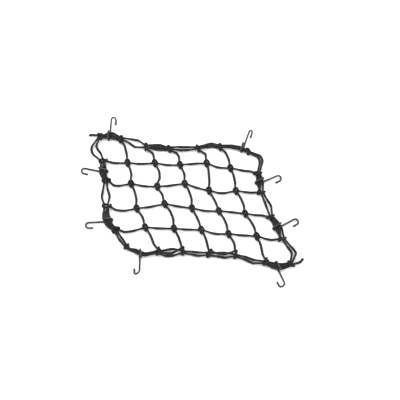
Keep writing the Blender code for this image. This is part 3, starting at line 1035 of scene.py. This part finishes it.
@dataclass
class CordWork:
    """Follows each of the four cords through the knots."""

    knots: KnotWork

    def column_cord(self) -> ElasticCord:
        """The cord that runs up and down the net and along its edge, with two free ends."""
        plan, knots = self.knots.plan, self.knots
        order = plan.edge_order()
        parts = [knots.tail(plan.first_tail), knots.edges[knots.first_tail_place].tied]
        for column in range(plan.columns):
            down = self.column(column)
            top = order.index((0, column + 1))
            bottom = order.index((plan.rows + 1, column + 1))
            if column % 2 == 0:
                parts += [self.third(top - 1), knots.edges[top].tied.reversed()]
                parts += [*down, knots.edges[bottom].tied]
                turn = bottom - 1
            else:
                parts += [self.third(turn).reversed(), knots.edges[bottom].tied.reversed()]
                parts += [part.reversed() for part in down[::-1]]
                parts += [knots.edges[top].tied]
        parts += [self.third(turn).reversed(), knots.edges[knots.last_tail_place].tied.reversed()]
        parts += [knots.tail(plan.last_tail).reversed()]
        nodes = [bows.name for bows in plan.column_bows]
        turns = [span.name for span in plan.edge if span.third]
        nodes += [f"turn_{name}" for name in turns if name.startswith(("top", "bottom"))]
        return ElasticCord("column_cord", tuple(nodes), parts, False)

    def third(self, span: int) -> Stretch:
        """The part of a third strand between its two knots."""
        return self.knots.between(self.knots.plan.edge_run(span, Strand.THIRD))

    def column(self, column: int) -> list[Stretch]:
        """A column from clear of the top edge to clear of the bottom edge."""
        plan, knots = self.knots.plan, self.knots
        parts = [knots.between(plan.column_run(column, 0))]
        for row in range(plan.rows):
            parts += [knots.crossings[row, column].tied, knots.between(plan.column_run(column, row + 1))]
        return parts

    def row(self, row: int) -> list[Stretch]:
        """A row from clear of the left edge to clear of the right edge."""
        plan, knots = self.knots.plan, self.knots
        parts = [knots.between(plan.row_run(row, 0))]
        for column in range(plan.columns):
            parts += [knots.crossings[row, column].held[0], knots.between(plan.row_run(row, column + 1))]
        return parts

    def row_loop(self, upper: int) -> ElasticCord:
        """The cord that makes two neighbouring rows and the runs along the edge between them.

        Args:
            upper: The upper of its two rows.

        Returns:
            The cord, a closed loop whose ends meet inside a knot.
        """
        plan, edges = self.knots.plan, self.knots.edges
        order = plan.edge_order()
        left = [order.index((row + 1, 0)) for row in (upper, upper + 1)]
        right = [order.index((row + 1, plan.columns + 1)) for row in (upper, upper + 1)]
        parts = [edges[left[0]].tied.reversed(), *self.row(upper), edges[right[0]].tied]
        parts += [self.third(right[0]), edges[right[1]].tied.reversed()]
        parts += [part.reversed() for part in self.row(upper + 1)[::-1]]
        parts += [edges[left[1]].tied, self.third(left[1])]
        nodes = [plan.row_bows[row].name for row in (upper, upper + 1)]
        nodes += [f"turn_{plan.edge[place].name}" for place in (right[0], left[1])]
        return ElasticCord(f"row_cord_{upper // 2 + 1}", tuple(nodes), parts, True)

    def perimeter_cord(self) -> ElasticCord:
        """The cord laid twice round the edge, which crosses from outside to inside in one knot."""
        plan, knots = self.knots.plan, self.knots
        count, swap = len(plan.edge), knots.swap_place
        parts = [knots.edges[swap].held[0]]
        for which, strand in enumerate((Strand.OUTER, Strand.INNER)):
            for step in range(count):
                place = (swap + step) % count
                parts.append(knots.between(plan.edge_run(place, strand)))
                following = (place + 1) % count
                if following == swap:
                    break
                knot = knots.edges[following]
                if following == knots.joint_place:
                    parts.append(knot.tied if strand is Strand.INNER else knot.held[0])
                else:
                    parts.append(knot.held[which])
            if strand is Strand.OUTER:
                parts.append(knots.edges[swap].tied)
        sides = ("top", "right", "bottom", "left")
        nodes = [f"edge_{side}_{strand}" for side in sides for strand in ("outer", "inner")]
        return ElasticCord("perimeter_cord", tuple(nodes), parts, True)


# ---------------------------------------------------------------- hooks


@dataclass
class WireHook:
    """A hook bent from one piece of wire: an eye round the edge cords, a shank and a J end.

    Attributes:
        name: Name of the model's node that it stands for, less hook_.
        span: Place on the edge of the span that it holds.
        along: Share of the way along that span.
        heading: Which way the shank points, in degrees from +X.
        roll: How far the J is rolled down from level, in degrees.
        curl: Side that it curls to, 1 for left.
    """

    name: str
    span: int
    along: float
    heading: float
    roll: float
    curl: int
    wire_radius: float = 1.8
    straight: float = 40.5
    bend_radius: float = 5.6
    return_leg: float = 9.0
    over_leg: float = 15.5
    side_step: float = 3.0
    leg_drop: float = 0.4
    eye_slack: float = 0.7
    leg_margin: float = 1.0
    cord_radius: float = 2.0
    cord_gap: float = 0.3
    arc_points: int = 25
    sides: int = 20
    ring_step: float = 0.6
    easing: int = 6
    drip: float = 0.18
    drip_place: float = 2.2
    drip_length: float = 2.0
    end_rings: int = 7
    end_clear: float = 1.2
    piece: bpy.types.Object | None = None

    def route(self, plan: NetPlan) -> np.ndarray:
        """The wire's line, from the end of the upper leg to the tip of the J.

        The eye is half a circle in the upright plane of the shank, and the J is half a
        circle in a plane rolled about the shank. The shank rises just enough for the
        rolled J's tip to come down to the surface.

        Args:
            plan: The net's plan, for where the edge cords are.

        Returns:
            Points in millimetres.
        """
        share = np.array([self.along])
        outer = plan.strand_plan(self.span, Strand.OUTER, share)[0]
        inner = plan.strand_plan(self.span, Strand.INNER, share)[0]
        heading = math.radians(self.heading)
        ahead = np.array([math.cos(heading), math.sin(heading), 0.0])
        curl = self.curl * np.array([-ahead[1], ahead[0], 0.0])
        bundle = (outer - inner) @ ahead[:2] + self.eye_slack
        eye_radius = (plan.height_at_knot + self.cord_radius + self.cord_gap) / 2
        middle = np.array([*(outer + inner) / 2, self.wire_radius + eye_radius])
        eye = middle - ahead * (bundle + self.eye_slack) / 2
        upper = eye + ahead * self.over_leg - curl * self.side_step + UP * (eye_radius - self.leg_drop)
        angle = np.linspace(0, math.pi, self.arc_points)[:, None]
        beside = curl * self.side_step / 2 * (1 - angle / math.pi)
        round_eye = eye + eye_radius * (UP * np.cos(angle) - ahead * np.sin(angle)) - beside
        leave = bundle + self.cord_radius + self.leg_margin
        foot = eye + ahead * leave - UP * eye_radius
        roll = math.radians(self.roll)
        drop = 2 * self.bend_radius * math.sin(roll)
        rise = math.atan2(drop, self.straight - leave - self.return_leg)
        along = ahead * math.cos(rise) + UP * math.sin(rise)
        below = ahead * math.sin(rise) - UP * math.cos(rise)
        across = curl * math.cos(roll) + below * math.sin(roll)
        bend = foot + along * (self.straight - leave)
        round_bend = along * np.sin(angle) + across * (1 - np.cos(angle))
        hook = bend + self.bend_radius * round_bend
        tip = hook[-1] - along * self.return_leg
        return np.vstack([upper, round_eye, foot, hook, tip])

    def line(self, plan: NetPlan) -> np.ndarray:
        """The wire's line with its corners eased, and its radius, fuller where the coating dripped.

        Args:
            plan: The net's plan.

        Returns:
            Rows of x, y, z and radius.
        """
        route = self.route(plan)
        count = round(lengths_along(route)[-1] / self.ring_step)
        line = eased(evenly_spaced(route, count), self.easing)
        along = lengths_along(line)
        ends = np.minimum(along, along[-1] - along)
        drip = self.drip * np.exp(-(((ends - self.drip_place) / self.drip_length) ** 2))
        return np.column_stack([line, self.wire_radius + drip])

    def build(self, plan: NetPlan) -> bpy.types.Object:
        """Makes the hook's mesh and puts it in its node's place.

        Args:
            plan: The net's plan.

        Returns:
            The new object.
        """
        rows = blunted(self.line(plan), self.wire_radius, self.end_rings, self.end_clear)
        self.piece = add_tube(f"wire_{self.name}", rows[:, :3], rows[:, 3], self.sides, False)
        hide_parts(f"hook_{self.name}")
        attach(self.piece, "root")
        return self.piece

    def dress(self, finish: "DippedWire") -> None:
        """Gives the wire its coating."""
        self.piece.data.materials.append(finish.material())

    def report(self) -> None:
        """Tells the log what the hook came to."""
        LOG.info("%s: %d triangles", self.piece.name, triangles(self.piece))


# ---------------------------------------------------------------- finishes


def linear_colour(hex_colour: str) -> tuple[float, float, float, float]:
    """An sRGB hex colour as linear red, green, blue and alpha."""
    shares = [int(hex_colour[place : place + 2], 16) / 255 for place in (1, 3, 5)]
    linear = [s / 12.92 if s <= 0.04045 else ((s + 0.055) / 1.055) ** 2.4 for s in shares]
    return (*linear, 1.0)


def add_node(tree: bpy.types.NodeTree, kind: str, inputs: dict, **settings: object) -> bpy.types.Node:
    """Adds a node with its settings and links.

    Args:
        tree: The node tree.
        kind: The node's type name.
        inputs: Socket name or place to a value, or to the output socket that feeds it.
        settings: Properties of the node.

    Returns:
        The new node.
    """
    node = tree.nodes.new(kind)
    for name, value in settings.items():
        setattr(node, name, value)
    for socket, value in inputs.items():
        if isinstance(value, bpy.types.NodeSocket):
            tree.links.new(value, node.inputs[socket])
        else:
            node.inputs[socket].default_value = value
    return node


def new_tree(name: str) -> tuple[bpy.types.Material, bpy.types.NodeTree]:
    """A material with an empty node tree."""
    material = bpy.data.materials.new(name)
    material.use_nodes = True
    material.node_tree.nodes.clear()
    return material, material.node_tree


class Ramp(NamedTuple):
    """A straight change between two values as what feeds it goes from low to high."""

    low: float
    high: float
    at_low: float
    at_high: float

    def inputs(self, feed: bpy.types.NodeSocket) -> dict:
        """The sockets of a Map Range node, in their order."""
        return dict(enumerate((feed, *self)))


@dataclass(frozen=True)
class BraidedSleeve:
    """Braided polyester sleeve on elastic cord, from black spun-dyed yarn.

    Sixteen carriers braid it over rubber strands in a two-over, two-under pattern. To the
    eye that is a soft charcoal with a faint slanting twill and a dull sheen along the top of
    the cord. The lines between the yarns are darkened with painted shade, and greyer patches
    stand for both wear and a painted sheen. The real picks are about 1 mm apart: they are
    drawn at twice that, so that they show.
    """

    yarn: str = "#1a1b1c"
    # Lighter yarn colour, for wear and for a painted sheen.
    rubbed_and_sheen: str = "#2c2d2f"
    # Colour of the painted shade in the crevices between the yarns.
    gap: str = "#070708"
    strands: float = 8.0
    pick: float = 2.2
    relief: float = 0.16
    relief_strength: float = 0.8
    fuzz_size: float = 0.35
    fuzz_depth: float = 0.05
    fuzz_strength: float = 0.35
    patch_size: float = 28.0
    tone_share: float = 0.35
    worn_and_sheen: Ramp = Ramp(0.42, 0.72, 0.0, 0.75)
    # Painted shade: where a point lies low between two yarn crowns, its colour goes to the shade colour.
    shown: Ramp = Ramp(0.05, 0.55, 0.0, 1.0)
    rough: Ramp = Ramp(0.0, 1.0, 0.85, 0.55)

    def material(self) -> bpy.types.Material:
        """The material, made once and shared by all the cords."""
        return bpy.data.materials.get("braided polyester sleeve") or self.build()

    def braid(self, tree: bpy.types.NodeTree) -> tuple[bpy.types.Node, bpy.types.Node]:
        """Builds the pattern of yarns from the UV map.

        Yarns run both ways round the cord, along the lines where strands x turn + length /
        pick, or the difference of the two, is whole. In every group of four crossings the
        first two show one set of yarns and the last two the other.

        Args:
            tree: The material's node tree.

        Returns:
            Nodes that give how near the crown of its yarn a point is, and the yarn's number.
        """
        uv = add_node(tree, "ShaderNodeUVMap", {}, uv_map="braid")
        parts = add_node(tree, "ShaderNodeSeparateXYZ", {0: uv.outputs[0]})
        turn = add_node(tree, "ShaderNodeMath", {0: parts.outputs[0], 1: self.strands}, operation="MULTIPLY")
        picks = {0: parts.outputs[1], 1: self.pick * MM}
        length = add_node(tree, "ShaderNodeMath", picks, operation="DIVIDE")
        crowns, cells = [], []
        for operation in ("ADD", "SUBTRACT"):
            both = {0: turn.outputs[0], 1: length.outputs[0]}
            slant = add_node(tree, "ShaderNodeMath", both, operation=operation).outputs[0]
            cells.append(add_node(tree, "ShaderNodeMath", {0: slant}, operation="FLOOR").outputs[0])
            across = add_node(tree, "ShaderNodeMath", {0: slant}, operation="FRACT").outputs[0]
            half = add_node(tree, "ShaderNodeMath", {0: across, 1: math.pi}, operation="MULTIPLY").outputs[0]
            crowns.append(add_node(tree, "ShaderNodeMath", {0: half}, operation="SINE").outputs[0])
        group = add_node(tree, "ShaderNodeMath", {0: cells[0], 1: cells[1]}, operation="ADD")
        four = add_node(tree, "ShaderNodeMath", {0: group.outputs[0], 1: 4.0}, operation="FLOORED_MODULO")
        over = add_node(tree, "ShaderNodeMath", {0: four.outputs[0], 1: 1.5}, operation="LESS_THAN")
        choices = [{0: over.outputs[0], 2: one, 3: other} for one, other in (crowns, cells)]
        crown, number = (add_node(tree, "ShaderNodeMix", choice, data_type="FLOAT") for choice in choices)
        return crown, number

    def build(self) -> bpy.types.Material:
        """Builds the sleeve: its braid, the tone of each yarn, its lighter patches of wear and painted sheen,
        the painted shade between its yarns, and its fuzz.
        """
        material, tree = new_tree("braided polyester sleeve")
        crown, number = self.braid(tree)
        place = add_node(tree, "ShaderNodeTexCoord", {}).outputs["Object"]
        tone = add_node(tree, "ShaderNodeTexWhiteNoise", {"W": number.outputs[0]}, noise_dimensions="1D")
        scale = {"Vector": place, "Scale": 1000 / self.patch_size, "Detail": 3.0}
        patches = add_node(tree, "ShaderNodeTexNoise", scale)
        scale = {"Vector": place, "Scale": 1000 / self.fuzz_size, "Detail": 2.0}
        fuzz = add_node(tree, "ShaderNodeTexNoise", scale)
        # Lighter patches along the cord, partly wear and partly a painted sheen.
        worn_and_sheen = add_node(tree, "ShaderNodeMapRange", self.worn_and_sheen.inputs(patches.outputs[0]))
        amount = {0: tone.outputs[0], 1: self.tone_share, 2: worn_and_sheen.outputs[0]}
        speck = add_node(tree, "ShaderNodeMath", amount, operation="MULTIPLY_ADD")
        ends = {0: speck.outputs[0], 6: linear_colour(self.yarn), 7: linear_colour(self.rubbed_and_sheen)}
        yarns = add_node(tree, "ShaderNodeMix", ends, data_type="RGBA")
        # Painted shade: the crevices between the yarns darken to the gap colour.
        shown = add_node(tree, "ShaderNodeMapRange", self.shown.inputs(crown.outputs[0]))
        ends = {0: shown.outputs[0], 6: linear_colour(self.gap), 7: yarns.outputs[2]}
        colour = add_node(tree, "ShaderNodeMix", ends, data_type="RGBA")
        rough = add_node(tree, "ShaderNodeMapRange", self.rough.inputs(crown.outputs[0]))
        height = {"Strength": self.relief_strength, "Distance": self.relief * MM, "Height": crown.outputs[0]}
        weave = add_node(tree, "ShaderNodeBump", height)
        height = {"Strength": self.fuzz_strength, "Distance": self.fuzz_depth * MM}
        height |= {"Height": fuzz.outputs[0], "Normal": weave.outputs[0]}
        surface = add_node(tree, "ShaderNodeBump", height)
        look = {"Base Color": colour.outputs[2], "Roughness": rough.outputs[0], "Normal": surface.outputs[0]}
        look |= {"IOR": 1.54, "Specular IOR Level": 0.12, "Sheen Weight": 0.04, "Sheen Roughness": 0.5}
        shader = add_node(tree, "ShaderNodeBsdfPrincipled", look)
        add_node(tree, "ShaderNodeOutputMaterial", {"Surface": shader.outputs[0]})
        return material


@dataclass(frozen=True)
class DippedWire:
    """Spring-steel wire dipped in black plastisol and cured.

    The soft vinyl flows a little before it sets, so that it shows a satin black with broad
    highlights, a very shallow orange peel, and duller marks where it has been handled.
    """

    coat: str = "#0b0c0d"
    scuffed: str = "#17181a"
    peel_size: float = 2.5
    peel_depth: float = 0.06
    peel_strength: float = 0.3
    mark_size: float = 9.0
    scuff: Ramp = Ramp(0.5, 0.75, 0.0, 0.8)
    rough: Ramp = Ramp(0.3, 0.8, 0.3, 0.55)

    def material(self) -> bpy.types.Material:
        """The material, made once and shared by all the hooks."""
        return bpy.data.materials.get("dipped vinyl on wire") or self.build()

    def build(self) -> bpy.types.Material:
        """Builds the coating."""
        material, tree = new_tree("dipped vinyl on wire")
        place = add_node(tree, "ShaderNodeTexCoord", {}).outputs["Object"]
        scale = {"Vector": place, "Scale": 1000 / self.mark_size, "Detail": 4.0}
        marks = add_node(tree, "ShaderNodeTexNoise", scale)
        scale = {"Vector": place, "Scale": 1000 / self.peel_size, "Detail": 1.0}
        peel = add_node(tree, "ShaderNodeTexNoise", scale)
        scuff = add_node(tree, "ShaderNodeMapRange", self.scuff.inputs(marks.outputs[0]))
        ends = {0: scuff.outputs[0], 6: linear_colour(self.coat), 7: linear_colour(self.scuffed)}
        colour = add_node(tree, "ShaderNodeMix", ends, data_type="RGBA")
        rough = add_node(tree, "ShaderNodeMapRange", self.rough.inputs(marks.outputs[0]))
        height = {"Strength": self.peel_strength, "Distance": self.peel_depth * MM, "Height": peel.outputs[0]}
        surface = add_node(tree, "ShaderNodeBump", height)
        look = {"Base Color": colour.outputs[2], "Roughness": rough.outputs[0], "Normal": surface.outputs[0]}
        shader = add_node(tree, "ShaderNodeBsdfPrincipled", look | {"IOR": 1.53})
        add_node(tree, "ShaderNodeOutputMaterial", {"Surface": shader.outputs[0]})
        return material


@dataclass(frozen=True)
class PaintedBoard:
    """White board sprayed with flat emulsion: an even pale surface with a very fine tooth."""

    paint: str = "#f6f6f5"
    tooth_size: float = 1.2
    tooth_depth: float = 0.02
    tooth_strength: float = 0.1

    def material(self) -> bpy.types.Material:
        """Builds the paint."""
        material, tree = new_tree("flat white paint")
        place = add_node(tree, "ShaderNodeTexCoord", {}).outputs["Object"]
        scale = {"Vector": place, "Scale": 1000 / self.tooth_size, "Detail": 1.0}
        tooth = add_node(tree, "ShaderNodeTexNoise", scale)
        height = {"Strength": self.tooth_strength, "Distance": self.tooth_depth * MM}
        surface = add_node(tree, "ShaderNodeBump", height | {"Height": tooth.outputs[0]})
        look = {"Base Color": linear_colour(self.paint), "Normal": surface.outputs[0]}
        look |= {"Roughness": 0.9, "Specular IOR Level": 0.2}
        shader = add_node(tree, "ShaderNodeBsdfPrincipled", look)
        add_node(tree, "ShaderNodeOutputMaterial", {"Surface": shader.outputs[0]})
        return material


# ---------------------------------------------------------------- studio


@dataclass(frozen=True)
class SoftLight:
    """A square soft box."""

    name: str
    place: tuple[float, float, float]
    size: float
    watts: float


@dataclass(frozen=True)
class Studio:
    """A pale floor, soft boxes and a camera that looks down on the net."""

    aim: tuple[float, float, float] = (0.0189, 0.0011, 0.0)
    distance: float = 2.0
    elevation: float = 60.0
    lens: float = 96.3
    sensor: float = 36.0
    floor_size: float = 16.0
    sky: str = "#ffffff"
    sky_strength: float = 1.2
    lights: tuple[SoftLight, ...] = (
        SoftLight("key", (-0.7, 0.5, 1.9), 1.2, 28.0),
        SoftLight("fill", (1.2, -1.0, 1.6), 1.6, 17.0),
    )

    def add_camera(self) -> None:
        """Places the camera at its distance and elevation, looking at its aim."""
        data = bpy.data.cameras.new("camera")
        data.lens = self.lens
        data.sensor_width = self.sensor
        camera = bpy.data.objects.new("camera", data)
        angle = math.radians(self.elevation)
        back = Vector((0.0, -math.cos(angle), math.sin(angle)))
        camera.location = Vector(self.aim) + back * self.distance
        camera.rotation_euler = (-back).to_track_quat("-Z", "Y").to_euler()
        bpy.context.collection.objects.link(camera)
        bpy.context.scene.camera = camera

    def add_floor(self) -> None:
        """Lays the floor that the net is spread on."""
        half = self.floor_size / 2
        corners = [(-half, -half, 0), (half, -half, 0), (half, half, 0), (-half, half, 0)]
        mesh = bpy.data.meshes.new("floor")
        mesh.from_pydata(corners, [], [(0, 1, 2, 3)])
        mesh.materials.append(PaintedBoard().material())
        floor = bpy.data.objects.new("floor", mesh)
        bpy.context.collection.objects.link(floor)

    def add_lights(self) -> None:
        """Hangs the soft boxes, each turned to the net, and lights the room evenly."""
        for light in self.lights:
            data = bpy.data.lights.new(light.name, "AREA")
            data.size = light.size
            data.energy = light.watts
            lamp = bpy.data.objects.new(light.name, data)
            lamp.location = light.place
            lamp.rotation_euler = (-Vector(light.place)).to_track_quat("-Z", "Y").to_euler()
            bpy.context.collection.objects.link(lamp)
        world = bpy.data.worlds.new("studio")
        world.use_nodes = True
        world.node_tree.nodes.clear()
        glow = {"Color": linear_colour(self.sky), "Strength": self.sky_strength}
        sky = add_node(world.node_tree, "ShaderNodeBackground", glow)
        add_node(world.node_tree, "ShaderNodeOutputWorld", {"Surface": sky.outputs[0]})
        bpy.context.scene.world = world
        bpy.context.scene.view_settings.view_transform = "Standard"

    def build(self) -> None:
        """Sets up the whole studio."""
        self.add_camera()
        self.add_floor()
        self.add_lights()


# ---------------------------------------------------------------- the whole


HOOKS = (
    WireHook("top_left", 0, 0.44, 85, 42, -1),
    WireHook("top_right", 5, 0.77, 68, 66, -1),
    WireHook("right_upper", 7, 0.50, 22, 14, -1),
    WireHook("right_lower", 9, 0.52, 29, 8, -1),
    WireHook("bottom_right", 11, 0.50, -71, 18, -1),
    WireHook("bottom_left", 16, 0.52, -89, 30, -1),
    WireHook("left_lower", 18, 0.45, 185, 6, 1),
    WireHook("left_upper", 20, 0.50, 168, 6, 1),
)


def main() -> None:
    """Builds the studio, ties the net and hangs the hooks on it."""
    logging.basicConfig(level=logging.INFO, format="%(message)s")
    Studio().build()
    plan = NetPlan()
    knots = KnotWork(plan)
    pressed = knots.build()
    count = len(knots.crossings) + len(knots.edges)
    LOG.info("%d knots, cords press %.2f mm into each other", count, pressed)
    cords = CordWork(knots)
    sleeve = BraidedSleeve()
    for cord in (cords.column_cord(), cords.row_loop(0), cords.row_loop(2), cords.perimeter_cord()):
        cord.build()
        cord.dress(sleeve)
        cord.report()
    coating = DippedWire()
    for hook in HOOKS:
        hook.build(plan)
        hook.dress(coating)
        hook.report()


if __name__ == "__main__":
    main()
